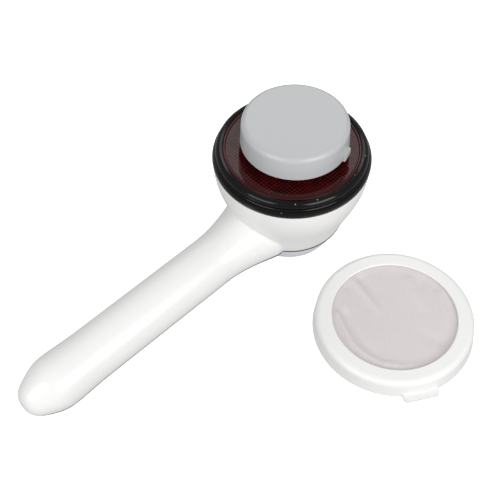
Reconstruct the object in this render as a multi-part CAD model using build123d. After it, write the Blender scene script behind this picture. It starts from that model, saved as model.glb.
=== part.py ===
from build123d import *
import math
import os

# Cordless wand massager: bowl-shaped head with a warming lamp ring and an orbiting massage
# head, a straight round handle, and a clip-on mesh cover that lies beside it.
# Millimetres. Origin: head axis on the rest plane. Handle along -X, +Z up.

# --- outer form
base_radius = 34.5
bowl_rim_radius = 61.8
bowl_rim_height = 84.0
bowl_swell = ((0.24, 0.35), (0.48, 0.61), (0.71, 0.865))  # share of height, share of flare
shell_wall = 2.4
handle_tilt = 2.5
handle_reach = 209.2  # reaches are measured from the bowl's rim
neck_root_radius = 29.6
neck_root_reach = -21.8
neck_middle_radius = 25.2
neck_middle_reach = -5.8
grip_radius = 20.7
grip_start_reach = 26.2
grip_end_setback = 63.0  # setbacks are measured from the handle's tip
butt_radius = 21.7
butt_setback = 32.0
butt_shoulder_radius = 16.6
butt_shoulder_setback = 13.0
butt_lift = 0.15
crease_radius = 2.0

# --- parting line between the two housings
seam_drop = 10.0
seam_gap = 1.2
seam_inset = 0.7

# --- clearances
press_gap = 0.02
glue_gap = 0.1
slip_gap = 0.15
running_gap = 0.05
body_gap = 0.3

# --- screws: shank radius, head radius, head height
case_screw = (1.5, 2.8, 2.0)
small_screw = (1.0, 1.9, 1.4)
post_wall = 2.4
case_screw_length = 16.0
small_screw_length = 6.0

# --- motor
motor_radius = 18.0
motor_bottom = 14.0
motor_length = 50.0
motor_wall = 1.4
motor_boss_radius = 6.5
motor_boss_height = 2.0
shaft_radius = 2.5
magnet_thickness = 2.6
air_gap = 0.5
armature_length = 26.0
motor_screw_pitch = 12.5

# --- chassis that carries the motor, the lamp board and the bezel
chassis_thickness = 3.0
chassis_margin = 3.0
chassis_screw_inset = 12.8
leg_pitch_radius = 28.5
rear_post_height = 19.0
bezel_post_inset = 4.4

# --- bezel and lens
bezel_overhang = 0.7
bezel_flange_height = 7.0
bezel_groove_depth = 2.7
bezel_top_rise = 13.6
bezel_spigot_depth = 5.0
lens_radius = 54.4
lens_hole_radius = 17.0
lens_thickness = 2.2
lens_ledge = 3.0
lens_gasket_thickness = 0.4
lens_dish = 1.8

# --- lamp board
board_thickness = 1.6
lamp_board_inset = 8.9
lamp_board_hole_margin = 3.0
lamp_board_drop = 10.4
lamp_count = 12
lamp_inset = 17.9
lamp_radius = 2.5
lamp_height = 5.6
spacer_inset = 3.5
spacer_radius = 2.6

# --- crank and bearing
crank_offset = 2.4
crank_radius = 9.0
crank_clearance = 3.4
crank_table_radius = 13.0
crank_table_height = 7.0
counterweight_radius = 23.0
counterweight_height = 8.0
bearing_inner_radius = 4.0
bearing_outer_radius = 11.0
bearing_width = 7.0
bearing_land = 1.55
ball_radius = 1.98
ball_count = 7

# --- carrier and massage head
head_gap_above_lens = 6.9
head_radius = 42.4
head_taper = 0.8
head_height = 20.5
head_edge_radius = 4.5
head_wall = 2.4
carrier_thickness = 3.5
carrier_lift = 1.5
carrier_hub_wall = 4.0
grip_ring_radius = 0.9
drive_pin_radius = 2.0
drive_pin_height = 3.5
drive_pin_pitch = 28.0
drive_pin_count = 3
socket_wall = 2.4
tab_azimuth = -69.5
tab_width = 11.0
tab_reach = 2.4
tab_height = 5.5

# --- speed wheel and control board
wheel_reach = 8.2
wheel_radius = 12.0
wheel_width = 5.0
wheel_proud = 2.6
wheel_shaft_radius = 1.5
wheel_notches = 24
wheel_cheek_drop = 3.5
control_board_reach = 12.7
control_board_length = 39.0
control_board_width = 32.0
board_screw_inset = 4.0

# --- battery, charging socket
cell_radius = 9.1
cell_length = 65.2
cell_gap = 0.8
battery_reach = 44.2
socket_bore_radius = 1.8
socket_bore_depth = 14.0
socket_barrel_radius = 3.4
socket_setback = 9.5
socket_drop = 0.7
bushing_width = 11.6
bushing_above = 4.3
bushing_below = 4.4
handle_screw_reach = 37.2
butt_screw_setback = 28.0
butt_screw_spread = 10.0
wire_radius = 0.7

# --- mesh cover, lying beside the head
cover_x = -11.8
cover_y = -129.3
cover_radius = 63.5
cover_height = 15.5
cover_taper = 1.2
cover_edge_radius = 5.0
cover_wall = 2.0
cover_opening_radius = 49.0
cover_tab_azimuth = -119.0
cover_tab_width = 28.0
cover_tab_reach = 5.0
mesh_thickness = 0.6
clamp_ring_height = 2.2

# --- worked-out stations and radii
handle_length = bowl_rim_radius + handle_reach
neck_root_station = bowl_rim_radius + neck_root_reach
neck_middle_station = bowl_rim_radius + neck_middle_reach
grip_start = bowl_rim_radius + grip_start_reach
wheel_station = bowl_rim_radius + wheel_reach
control_board_station = bowl_rim_radius + control_board_reach
handle_screw_station = bowl_rim_radius + handle_screw_reach
battery_start = bowl_rim_radius + battery_reach
grip_end = handle_length - grip_end_setback
butt_station = handle_length - butt_setback
butt_shoulder_station = handle_length - butt_shoulder_setback
butt_screw_station = handle_length - butt_screw_setback
socket_station = handle_length - socket_setback
chassis_screw_radius = bowl_rim_radius - chassis_screw_inset
bezel_post_pitch = lens_radius - bezel_post_inset
lamp_board_radius = lens_radius - lamp_board_inset
lamp_board_hole = counterweight_radius + lamp_board_hole_margin
lamp_pitch_radius = lens_radius - lamp_inset
spacer_pitch_radius = lamp_board_radius - spacer_inset

# --- worked-out heights and directions
tilt = math.radians(handle_tilt)
handle_direction = Vector(-math.cos(tilt), 0, -math.sin(tilt))
handle_up = Vector(-math.sin(tilt), 0, math.cos(tilt))
handle_axis_height = butt_lift + butt_radius / math.cos(tilt) + butt_station * math.sin(tilt)
seam_height = handle_axis_height - seam_drop
motor_top = motor_bottom + motor_length
chassis_top = motor_top + chassis_thickness
bezel_top = bowl_rim_height + bezel_top_rise
lens_seat = bezel_top - lens_thickness - 1.0
lens_top = lens_seat + lens_gasket_thickness + lens_thickness
lamp_board_top = lens_seat - lamp_board_drop + board_thickness
lamp_board_bottom = lamp_board_top - board_thickness
head_bottom = lens_top + head_gap_above_lens
head_top = head_bottom + head_height
carrier_bottom = head_bottom + carrier_lift
carrier_top = carrier_bottom + carrier_thickness
bearing_top = carrier_top - 1.3
bearing_bottom = bearing_top - bearing_width
crank_shoulder = bearing_bottom - 1.2
grub_height = chassis_top + crank_clearance + 3.5

UPRIGHT = (Align.CENTER, Align.CENTER, Align.MIN)


def rod(radius, low, high, x=0.0, y=0.0):
    """Upright cylinder between two heights."""
    return Pos(x, y, low) * Cylinder(radius, high - low, align=UPRIGHT)


def ring(inner, outer, low, high, x=0.0, y=0.0):
    """Upright tube between two heights."""
    return rod(outer, low, high, x, y) - rod(inner, low - 1, high + 1, x, y)


def block(x_range, y_range, z_range):
    """Box between three pairs of limits."""
    size = [high - low for low, high in (x_range, y_range, z_range)]
    middle = [(high + low) / 2 for low, high in (x_range, y_range, z_range)]
    return Pos(*middle) * Box(*size)


def polar(radius, azimuth):
    """Point on a circle about the head axis."""
    turn = math.radians(azimuth)
    return radius * math.cos(turn), radius * math.sin(turn)


def spread(radius, count, first=0.0):
    """Evenly spaced points on a circle about the head axis."""
    return [polar(radius, first + 360 * number / count) for number in range(count)]


def lathe(outline):
    """Solid turned about the head axis from an outline of (radius, height)."""
    return revolve(Plane.XZ * make_face(outline), Axis.Z)


def joined(solids):
    """Separate solids kept together as one node."""
    return Compound(children=[solid for piece in solids for solid in piece.solids()])


def screw(size, length, x, y, head_height, up=True):
    """Cross-head screw. Its head's outer face is at head_height and its shank goes up or down."""
    shank, head, thickness = size
    body = rod(head, 0, thickness) + rod(shank, 0, length)
    slot_depth = thickness * 0.6
    for angle in (0, 90):
        body -= Rot(0, 0, angle) * Box(head * 1.2, head * 0.3, 2 * slot_depth)
    if not up:
        body = Rot(180, 0, 0) * body
    return Pos(x, y, head_height) * body


def wire(points, bend=4.0, radius=wire_radius):
    """Insulated lead along straight runs joined by arcs."""
    path = FilletPolyline(*points, radius=bend) if len(points) > 2 else Line(*points)
    start = Plane(origin=path @ 0, z_dir=path % 0)
    return sweep(start * Circle(radius), path=path)


def axis_point(station, rise=0.0, side=0.0):
    """Point given by its distance along the handle, its rise above the axis and its side."""
    foot = Vector(0, 0, handle_axis_height) + handle_direction * station + handle_up * rise
    return foot + Vector(0, side, 0)


def along_handle(radius, start, end, rise=0.0, side=0.0):
    """Cylinder parallel to the handle's axis between two stations."""
    place = Plane(axis_point(start, rise, side), x_dir=(0, -1, 0), z_dir=handle_direction)
    return place * Cylinder(radius, end - start, align=UPRIGHT)


def bowl(inset):
    """Solid of the bowl, pulled in from the outside by inset."""
    flare = bowl_rim_radius - base_radius
    middle = [
        (base_radius + share_out * flare - inset, share_up * bowl_rim_height)
        for share_up, share_out in bowl_swell
    ]
    foot = (base_radius - inset, inset)
    rim = (bowl_rim_radius - inset, bowl_rim_height)
    side = Spline(foot, *middle, rim)
    closing = Polyline(rim, (0, bowl_rim_height), (0, inset), foot)
    return lathe(side + closing)


def handle(inset):
    """Solid of the handle, pulled in from the outside by inset."""
    root = (neck_root_station, neck_root_radius - inset)
    middle = (neck_middle_station, neck_middle_radius - inset)
    grip_a = (grip_start, grip_radius - inset)
    grip_b = (grip_end, grip_radius - inset)
    bulge = (butt_station, butt_radius - inset)
    shoulder = (butt_shoulder_station, butt_shoulder_radius - inset)
    tip = (handle_length - inset, 0)
    outline = Line((0, root[1]), root)
    outline += Spline(root, middle, grip_a, tangents=((1, -0.25), (1, 0)))
    outline += Line(grip_a, grip_b)
    outline += Spline(grip_b, bulge, tangents=((1, 0), (1, 0)))
    outline += Spline(bulge, shoulder, tip, tangents=((1, 0), (0, -1)))
    outline += Polyline(tip, (0, 0), (0, root[1]))
    side_view = Plane((0, 0, handle_axis_height), x_dir=handle_direction, z_dir=(0, 1, 0))
    return revolve(side_view * make_face(outline), Axis((0, 0, handle_axis_height), handle_direction))


def envelope(inset, crease=0.0):
    """Bowl and handle together, with the crease between them rounded where asked."""
    whole = bowl(inset) + handle(inset)
    if crease:
        curved = whole.edges().filter_by(GeomType.BSPLINE)
        corner = [edge for edge in curved if edge.bounding_box().size.Y > neck_root_radius / 2]
        whole = fillet(corner, crease)
    return whole


def seam_slab(low, high):
    """Everything between two offsets from the parting plane."""
    reach = 2 * (handle_length + bowl_rim_radius)
    slab = Pos(0, 0, low) * Box(reach, reach, high - low, align=UPRIGHT)
    return Pos(0, 0, seam_height) * Rot(0, -handle_tilt, 0) * slab


def seam_at(x):
    """Height of the parting plane at a place along the handle."""
    return seam_height + x * math.tan(tilt)


outer_form = envelope(0, crease_radius)
inner_form = envelope(shell_wall)
far = 2 * handle_length
above_seam = seam_slab(seam_gap / 2, far)
below_seam = seam_slab(-far, -seam_gap / 2)
chassis_posts = spread(chassis_screw_radius, 4, 45)
chassis_legs = spread(leg_pitch_radius, 4)
bezel_posts = spread(bezel_post_pitch, 4)
spacer_places = spread(spacer_pitch_radius, 4, 45)
butt_screw_x = -butt_screw_station
handle_screw_x = -handle_screw_station
socket_height = seam_at(-socket_station) - socket_drop


def bushing_space(clearance):
    """Room for the grey socket bushing across the parting line at the butt."""
    high = socket_height + bushing_above + clearance
    low = socket_height - bushing_below - clearance
    half = bushing_width / 2 + clearance
    space = block((-handle_length - 5, -socket_station + 5.5 + clearance), (-half, half), (low, high))
    return fillet(space.edges().filter_by(Axis.X), 1.4)


def handle_posts():
    """Screw posts along the handle as (x, y)."""
    return [
        (handle_screw_x, 0.0),
        (butt_screw_x, butt_screw_spread),
        (butt_screw_x, -butt_screw_spread),
    ]


def front_housing():
    post_radius = case_screw[0] + post_wall
    small_post = small_screw[0] + post_wall / 2
    post_top = handle_axis_height + neck_root_radius
    hollow = inner_form
    for x, y in chassis_posts:
        hollow -= rod(post_radius, motor_top / 2 + 8, motor_top, x, y)
    for x, y in handle_posts():
        hollow -= rod(post_radius, 0, post_top, x, y)
    for x in board_screw_places():
        hollow -= rod(small_post, control_board_top(), post_top, x, 0)
    shell = (outer_form - hollow) & above_seam
    for x, y in chassis_posts:
        shell -= rod(case_screw[0], motor_top - case_screw_length, motor_top + 1, x, y)
    for x, y in handle_posts():
        shell -= rod(case_screw[0], 0, seam_at(x) + case_screw_length, x, y)
    for x in board_screw_places():
        shell -= rod(small_screw[0], 0, control_board_top() + small_screw_length, x, 0)
    return joined([shell - bushing_space(slip_gap)])


def rear_housing():
    shell = (outer_form - inner_form) & below_seam
    post_radius = case_screw[1] + post_wall / 2
    cushion_seat = ring(cushion_radius(), cushion_radius() + 2, shell_wall / 2, motor_bottom + 5)
    cushion_seat -= block((-40, 0), (2, 13), (shell_wall, motor_bottom - 3.5))
    inside = outer_form & below_seam
    shell += cushion_seat & inside
    for x, y in chassis_legs:
        shell += rod(post_radius, 0, rear_post_height, x, y) & inside
    for x, y in handle_posts():
        shell += rod(case_screw[1] + post_wall / 2, 0, handle_axis_height, x, y) & inside
    shell -= rod(cushion_radius(), shell_wall, motor_bottom + 6)
    for x, y in chassis_legs:
        shell -= rod(case_screw[1] + slip_gap, -1, rear_head_face() + case_screw[2], x, y)
        shell -= rod(case_screw[0] + slip_gap, 0, seam_height, x, y)
    for x, y in handle_posts():
        shell -= rod(case_screw[1] + slip_gap, -1, handle_head_face(x) + case_screw[2], x, y)
        shell -= rod(case_screw[0] + slip_gap, -1, handle_axis_height, x, y)
    slot_drop = wheel_height() - wheel_low() - wheel_proud - shell_wall
    slot_half = math.sqrt(wheel_radius**2 - slot_drop**2) + 0.8
    slot = (-wheel_station - slot_half, -wheel_station + slot_half)
    side = wheel_width / 2 + 0.6
    shell -= block(slot, (-side, side), (0, handle_axis_height))
    shell -= bushing_space(slip_gap)
    return joined([shell])


def seam_gasket():
    band = (envelope(seam_inset) - inner_form) & seam_slab(-seam_gap / 2, seam_gap / 2)
    for x, y in handle_posts():
        band -= rod(case_screw[0] + post_wall, 0, handle_axis_height, x, y)
    band -= bushing_space(slip_gap)
    return joined([band])


def rear_head_face():
    """Height of the outer face of the four screw heads under the bowl."""
    return rear_post_height - 4 - case_screw[2]


def handle_head_face(x):
    """Height of the outer face of a screw head under the handle."""
    return seam_at(x) - 3.5 - case_screw[2]


def housing_screws():
    screws = [screw(case_screw, case_screw_length, x, y, rear_head_face()) for x, y in chassis_legs]
    for x, y in handle_posts():
        screws.append(screw(case_screw, case_screw_length, x, y, handle_head_face(x)))
    return joined(screws)


def cushion_radius():
    """Outer radius of the rubber cup under the motor."""
    return motor_radius + 3.4


def motor_cushion():
    cup = ring(motor_radius + press_gap, cushion_radius() - glue_gap, motor_bottom - 3, motor_bottom + 5)
    return cup + ring(motor_radius - 3, motor_radius + 1, motor_bottom - 3, motor_bottom)


def motor_can():
    can = rod(motor_radius, motor_bottom + 3, motor_top)
    can -= rod(motor_radius - motor_wall, 0, motor_top - motor_wall)
    can += rod(motor_boss_radius, motor_top - motor_wall, motor_top + motor_boss_height)
    can -= rod(motor_boss_radius - 1.5, motor_top - motor_wall - 1, motor_top + motor_boss_height + 1)
    for x, y in spread(motor_screw_pitch, 2, 90):
        can -= rod(case_screw[0], motor_top - 5, motor_top + 1, x, y)
    return can


def magnet_span():
    """Heights between which the magnets and the armature lie."""
    low = motor_bottom + 3 + (motor_length - 3 - armature_length) / 2 + 3
    return low, low + armature_length


def motor_magnets():
    low, high = magnet_span()
    outer = motor_radius - motor_wall - glue_gap
    sleeve = ring(outer - magnet_thickness, outer, low, high)
    gap = block((-4, 4), (-motor_radius, motor_radius), (low - 1, high + 1))
    return joined([sleeve - gap])


def motor_end_cap():
    lid = rod(motor_radius, motor_bottom, motor_bottom + 3) - rod(bush_radius(), 0, motor_bottom + 9)
    can_bore = motor_radius - motor_wall
    lid += ring(can_bore - 2, can_bore - press_gap, motor_bottom + 3, motor_bottom + 8)
    for side in (-1, 1):
        holder = block((5.4, 12), (-3.2, 3.2), (motor_bottom + 2.5, motor_bottom + 9))
        channel = block((4, 13), (-2, 2), (motor_bottom + 4.5, motor_bottom + 8))
        lid += Rot(0, 0, 90 + 90 * side) * (holder - channel)
        lid -= block((side * 11 - 1.6, side * 11 + 1.6), (-0.5, 0.5), (0, motor_bottom + 2.6))
    return lid


def motor_brushes():
    carbon = block((commutator_radius() + running_gap, 11), (-1.9, 1.9), (motor_bottom + 4.6, motor_bottom + 7.9))
    return joined([carbon, Rot(0, 0, 180) * carbon])


def motor_terminals():
    tag = block((9.6, 12.4), (-0.4, 0.4), (motor_bottom - 4, motor_bottom + 2.5))
    return joined([tag, Rot(0, 0, 180) * tag])


def bush_radius():
    """Outer radius of the sleeve bearings of the motor shaft."""
    return motor_boss_radius - 1.5 - press_gap


def motor_bushings():
    lower = ring(shaft_radius + running_gap, bush_radius() - press_gap, motor_bottom, motor_bottom + 3)
    upper = ring(shaft_radius + running_gap, bush_radius(), motor_top - motor_wall, motor_top + motor_boss_height)
    return joined([lower, upper])


def commutator_radius():
    return shaft_radius + 2.5


def motor_shaft():
    return rod(shaft_radius, motor_bottom - 1, crank_shoulder - 4)


def armature():
    low, high = magnet_span()
    outer = motor_radius - motor_wall - magnet_thickness - air_gap
    core = rod(outer, low, high)
    for x, y in spread(outer - 2.8, 5):
        core -= rod(2.3, low - 1, high + 1, x, y)
    for x, y in spread(outer - 1.2, 5):
        core -= Pos(x, y, (low + high) / 2) * Rot(0, 0, math.degrees(math.atan2(y, x))) * Box(5, 1.4, high - low + 2)
    return core - rod(shaft_radius + press_gap, low - 1, high + 1)


def commutator():
    low = motor_bottom + 4
    drum = ring(shaft_radius + press_gap, commutator_radius(), low, magnet_span()[0] - 1)
    for number in range(5):
        cut = block((commutator_radius() - 0.6, commutator_radius() + 1), (-0.25, 0.25), (low - 1, low + 6))
        drum -= Rot(0, 0, 72 * number) * cut
    return drum


def motor_chassis():
    plate_radius = min(bowl_wall_radius(motor_top), bowl_wall_radius(chassis_top)) - chassis_margin
    plate = rod(plate_radius, motor_top, chassis_top)
    for x, y in chassis_legs:
        plate += rod(case_screw[0] + post_wall, rear_post_height + slip_gap, motor_top + 1, x, y)
        plate -= rod(case_screw[0], rear_post_height - 1, rear_head_face() + case_screw_length + 1, x, y)
    plate += ring(motor_radius + slip_gap, motor_radius + 2, motor_top - 8, motor_top + 1)
    plate -= rod(motor_boss_radius + press_gap, motor_top - 1, chassis_top + 1)
    for x, y in spread(motor_screw_pitch, 2, 90) + chassis_posts + bezel_posts:
        plate -= rod(case_screw[0] + slip_gap, motor_top - 1, chassis_top + 1, x, y)
    for x, y in spacer_places:
        plate -= rod(small_screw[0], motor_top - 1, chassis_top + 1, x, y)
    plate -= rod(3.5, motor_top - 1, chassis_top + 1, *lamp_lead_place())
    return plate


def bowl_wall_radius(height):
    """Radius of the inside of the bowl at a height above its swell."""
    shares = ((0.0, 0.0),) + bowl_swell + ((1.0, 1.0),)
    share_up = height / bowl_rim_height
    for (low_up, low_out), (high_up, high_out) in zip(shares, shares[1:]):
        if low_up <= share_up <= high_up:
            part = (share_up - low_up) / (high_up - low_up)
            flare = low_out + part * (high_out - low_out)
    return base_radius + flare * (bowl_rim_radius - base_radius) - shell_wall


def chassis_screws():
    screws = [
        screw(case_screw, 12, x, y, chassis_top + case_screw[2], up=False) for x, y in chassis_posts
    ]
    return joined(screws)


def bezel_screws():
    return joined([screw(case_screw, 12, x, y, motor_top - case_screw[2]) for x, y in bezel_posts])


def motor_screws():
    places = spread(motor_screw_pitch, 2, 90)
    length = chassis_thickness + case_screw[2] + motor_wall
    return joined([screw(case_screw, length, x, y, chassis_top + case_screw[2], up=False) for x, y in places])


def bezel_ring():
    widest = bowl_rim_radius + bezel_overhang
    low = bowl_rim_height
    groove = widest - bezel_groove_depth
    inner = lens_radius - lens_ledge
    spigot = bowl_rim_radius - shell_wall - slip_gap
    flange_top = low + bezel_flange_height
    seat = lens_radius + slip_gap
    outline = Polyline((inner, lens_seat), (inner, low - bezel_spigot_depth), (spigot, low - bezel_spigot_depth))
    outline += Polyline((spigot, low - bezel_spigot_depth), (spigot, low), (widest - 0.8, low))
    step = (widest - 1.0, flange_top - 0.4)
    bead_foot = (groove, flange_top + 1.6)
    outline += ThreePointArc((widest - 0.8, low), (widest, low + 3.6), step)
    outline += ThreePointArc(step, (groove - 0.1, flange_top + 0.5), bead_foot)
    outline += ThreePointArc(bead_foot, (groove - 0.6, bezel_top - 1.6), (groove - 3.2, bezel_top))
    outline += Polyline((groove - 3.2, bezel_top), (seat, bezel_top - 0.5), (seat, lens_seat), (inner, lens_seat))
    body = lathe(outline)
    for x, y in bezel_posts:
        body += rod(case_screw[0] + post_wall, chassis_top, lens_seat - 2, x, y)
        body -= rod(case_screw[0], chassis_top - 1, chassis_top + 9, x, y)
    return body


def lens_gasket():
    return ring(lens_radius - lens_ledge + 0.4, lens_radius - 0.4, lens_seat, lens_seat + lens_gasket_thickness)


def warming_lens():
    """Red lens ring: rounded border bead, gently dished face and a short collar at its hole."""
    under = lens_seat + lens_gasket_thickness
    border = lens_radius - 3.4
    face_rim = lens_top - 0.6
    face_hole = face_rim - lens_dish
    outline = Line((lens_radius, under), (lens_radius, under + 1.2))
    outline += ThreePointArc((lens_radius, under + 1.2), (lens_radius - 0.9, lens_top), (border + 1, lens_top - 0.05))
    outline += Polyline((border + 1, lens_top - 0.05), (border, face_rim), (lens_hole_radius, face_hole))
    outline += Polyline((lens_hole_radius, face_hole), (lens_hole_radius, face_hole - 4))
    outline += Polyline((lens_hole_radius, face_hole - 4), (lens_hole_radius + 1.8, face_hole - 4))
    outline += Polyline((lens_hole_radius + 1.8, face_hole - 4), (lens_hole_radius + 1.8, face_hole - 1.8))
    outline += Polyline((lens_hole_radius + 1.8, face_hole - 1.8), (border - 1, under), (lens_radius, under))
    return lathe(outline)


def lamp_board():
    board = ring(lamp_board_hole, lamp_board_radius, lamp_board_bottom, lamp_board_top)
    for x, y in spacer_places:
        board -= rod(small_screw[0] + slip_gap, 0, lamp_board_top + 1, x, y)
    return board


def lamp_leds():
    lamps = []
    for x, y in spread(lamp_pitch_radius, lamp_count, 15):
        straight = lamp_height - lamp_radius
        bulb = rod(lamp_radius, 0, straight) + Pos(0, 0, straight) * Sphere(lamp_radius)
        bulb = bulb & rod(lamp_radius + 1, 0, lamp_height)
        lamps.append(Pos(x, y, lamp_board_top) * (bulb + rod(lamp_radius + 0.4, 0, 1)))
    return joined(lamps)


def board_spacers():
    return joined([
        ring(small_screw[0] + 0.3, spacer_radius, chassis_top, lamp_board_bottom, x, y) for x, y in spacer_places
    ])


def lamp_board_screws():
    length = lamp_board_top - chassis_top + small_screw[2] + chassis_thickness - 0.5
    head = lamp_board_top + small_screw[2]
    return joined([screw(small_screw, length, x, y, head, up=False) for x, y in spacer_places])


def crank_hub():
    low = chassis_top + crank_clearance
    table = crank_shoulder - 1.0
    hub = rod(crank_radius, low, table) + rod(crank_table_radius, table - crank_table_height, table)
    weight = rod(counterweight_radius, low, low + counterweight_height)
    hub += weight & block((-counterweight_radius, -2), (-counterweight_radius, counterweight_radius), (0, far))
    hub += rod(bearing_inner_radius + bearing_land, table, bearing_bottom, crank_offset)
    hub += rod(bearing_inner_radius - press_gap, table, bearing_top, crank_offset)
    hub -= rod(shaft_radius + press_gap, low - 1, crank_shoulder - 4)
    hub -= rod(2.0, bearing_top - 10, bearing_top + 1, crank_offset)
    grub = Pos(0, 0, grub_height) * Rot(0, 90, 0) * Cylinder(2.0, crank_radius + 5, align=UPRIGHT)
    return hub - grub


def crank_grub_screw():
    stud = Cylinder(2.0 - press_gap, crank_radius - shaft_radius - 1, align=UPRIGHT)
    stud -= Pos(0, 0, crank_radius - shaft_radius - 3) * extrude(RegularPolygon(1.0, 6), 4)
    return Pos(shaft_radius + press_gap, 0, grub_height) * Rot(0, 90, 0) * stud


def crank_end_screw():
    washer = rod(bearing_inner_radius + bearing_land - 0.3, bearing_top, bearing_top + 0.8)
    head = rod(3.5, bearing_top + 0.8, bearing_top + 3.0)
    head -= Pos(0, 0, bearing_top + 1.6) * extrude(RegularPolygon(1.5, 6), 3)
    stud = rod(2.0 - press_gap, bearing_top - 9, bearing_top + 1)
    return Pos(crank_offset, 0, 0) * (washer + head + stud)


def ball_track():
    """Doughnut-shaped groove that the balls roll in."""
    pitch = (bearing_inner_radius + bearing_outer_radius) / 2
    middle = (bearing_bottom + bearing_top) / 2
    return Pos(crank_offset, 0, middle) * Torus(pitch, ball_radius + 0.1)


def bearing_inner_race():
    outer = bearing_inner_radius + bearing_land + 0.45
    return ring(bearing_inner_radius, outer, bearing_bottom, bearing_top, crank_offset) - ball_track()


def bearing_outer_race():
    inner = bearing_outer_radius - bearing_land - 0.45
    return ring(inner, bearing_outer_radius, bearing_bottom, bearing_top, crank_offset) - ball_track()


def bearing_balls():
    pitch = (bearing_inner_radius + bearing_outer_radius) / 2
    middle = (bearing_bottom + bearing_top) / 2
    return joined([Pos(crank_offset + x, y, middle) * Sphere(ball_radius) for x, y in spread(pitch, ball_count)])


def carrier_radius():
    """Radius of the carrier plate inside the massage head."""
    return head_radius - head_taper - head_wall - body_gap - 0.4


def carrier_plate():
    hub_radius = bearing_outer_radius + carrier_hub_wall
    plate = rod(carrier_radius(), carrier_bottom, carrier_top) + rod(hub_radius, bearing_bottom, carrier_top)
    for number in range(6):
        rib = block((hub_radius - 1, carrier_radius() - 4), (-1, 1), (carrier_bottom - 3, carrier_bottom + 1))
        plate += Rot(0, 0, 60 * number) * rib
    plate -= rod(bearing_outer_radius + press_gap, bearing_bottom - 1, bearing_top)
    plate -= rod(bearing_outer_radius - 1.4, 0, carrier_top + 1)
    groove = carrier_radius() - grip_ring_radius + body_gap + 0.1
    plate -= Pos(0, 0, (carrier_bottom + carrier_top) / 2) * Torus(groove, grip_ring_radius + press_gap)
    for x, y in spread(drive_pin_pitch, drive_pin_count, 60):
        plate += rod(drive_pin_radius, carrier_top - 1, carrier_top + drive_pin_height, x, y)
    return Pos(crank_offset, 0, 0) * plate


def grip_ring():
    groove = carrier_radius() - grip_ring_radius + body_gap + 0.1
    return Pos(crank_offset, 0, (carrier_bottom + carrier_top) / 2) * Torus(groove, grip_ring_radius)


def side_tab(azimuth, radius, width, reach, low, high):
    """Finger tab on the outside of a round skirt, with rounded corners."""
    tab = block((radius - 3, radius + reach), (-width / 2, width / 2), (low, high))
    tab = fillet(tab.edges().filter_by(Axis.Z), min(reach, width / 2) * 0.6)
    return Rot(0, 0, azimuth) * tab


def head_cap():
    """Massage head: a hollow grey cap with a pull tab."""
    shoulder = head_radius - head_taper
    bottom = (head_radius, head_bottom)
    edge_start = (shoulder, head_top - head_edge_radius)
    edge_end = (shoulder - head_edge_radius, head_top)
    bend = head_edge_radius * (1 - math.sqrt(0.5))
    inner = shoulder - head_wall
    ceiling = head_ceiling()
    outline = Line(bottom, edge_start)
    outline += ThreePointArc(edge_start, (shoulder - bend, head_top - bend), edge_end)
    outline += Polyline(edge_end, (0, head_top), (0, ceiling), (inner - 3, ceiling), (inner, ceiling - 3))
    outline += Polyline((inner, ceiling - 3), (inner, head_bottom), bottom)
    cap = lathe(outline)
    tab_low = head_bottom + 0.4
    cap += side_tab(tab_azimuth, head_radius - 0.4, tab_width, tab_reach, tab_low, head_bottom + tab_height)
    return Pos(crank_offset, 0, 0) * (cap - rod(inner, 0, carrier_top))


def head_ceiling():
    """Height of the inside of the massage head's top."""
    return head_top - head_wall


def head_sockets():
    """Three sockets under the massage head's top, which the carrier's drive pins go into."""
    sockets = []
    for x, y in spread(drive_pin_pitch, drive_pin_count, 60):
        socket = rod(drive_pin_radius + socket_wall, carrier_top + slip_gap, head_ceiling(), x, y)
        socket -= rod(drive_pin_radius + body_gap, 0, carrier_top + drive_pin_height + 1, x, y)
        sockets.append(Pos(crank_offset, 0, 0) * socket)
    return joined(sockets)


def wheel_low():
    """Lowest height of the speed wheel, proud of the handle's underside."""
    part = (wheel_station - neck_middle_station) / (grip_start - neck_middle_station)
    neck = neck_middle_radius + part * (grip_radius - neck_middle_radius) - 1.0
    return handle_axis_height - wheel_station * math.tan(tilt) - neck - wheel_proud


def wheel_height():
    return wheel_low() + wheel_radius


def control_board_top():
    return wheel_height() + wheel_radius + 1.2 + board_thickness


def control_board_ends():
    """Places of the control board's butt-side and head-side edges."""
    half = control_board_length / 2
    return -control_board_station - half, -control_board_station + half


def board_screw_places():
    rear, front = control_board_ends()
    return rear + board_screw_inset, front - board_screw_inset


def across(radius, low, high, x, z):
    """Cylinder along Y between two sides."""
    return Pos(x, low, z) * Rot(-90, 0, 0) * Cylinder(radius, high - low, align=UPRIGHT)


def speed_wheel():
    wheel = across(wheel_radius, -wheel_width / 2, wheel_width / 2, 0, 0)
    notch = across(0.9, -wheel_width, wheel_width, wheel_radius + 0.3, 0)
    for number in range(wheel_notches):
        wheel -= Rot(0, 360 * number / wheel_notches, 0) * notch
    wheel -= across(wheel_shaft_radius + press_gap, -wheel_width, wheel_width, 0, 0)
    return Pos(-wheel_station, 0, wheel_height()) * wheel


def speed_wheel_shaft():
    half = wheel_width / 2 + 5
    return across(wheel_shaft_radius, -half, half, -wheel_station, wheel_height())


def wheel_cheek(low, high):
    """Upright cheek beside the wheel, with a bearing hole for its shaft."""
    x_range = (-wheel_station - 5, -wheel_station + 5)
    foot = wheel_height() - wheel_cheek_drop
    cheek = block(x_range, (low, high), (foot, control_board_top() - board_thickness))
    return cheek - across(wheel_shaft_radius + running_gap, low - 1, high + 1, -wheel_station, wheel_height())


def speed_pot_body():
    start = wheel_width / 2 + 1
    return wheel_cheek(start, start + 4.5)


def wheel_bracket():
    start = wheel_width / 2 + 1
    return wheel_cheek(-start - 2.5, -start)


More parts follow.
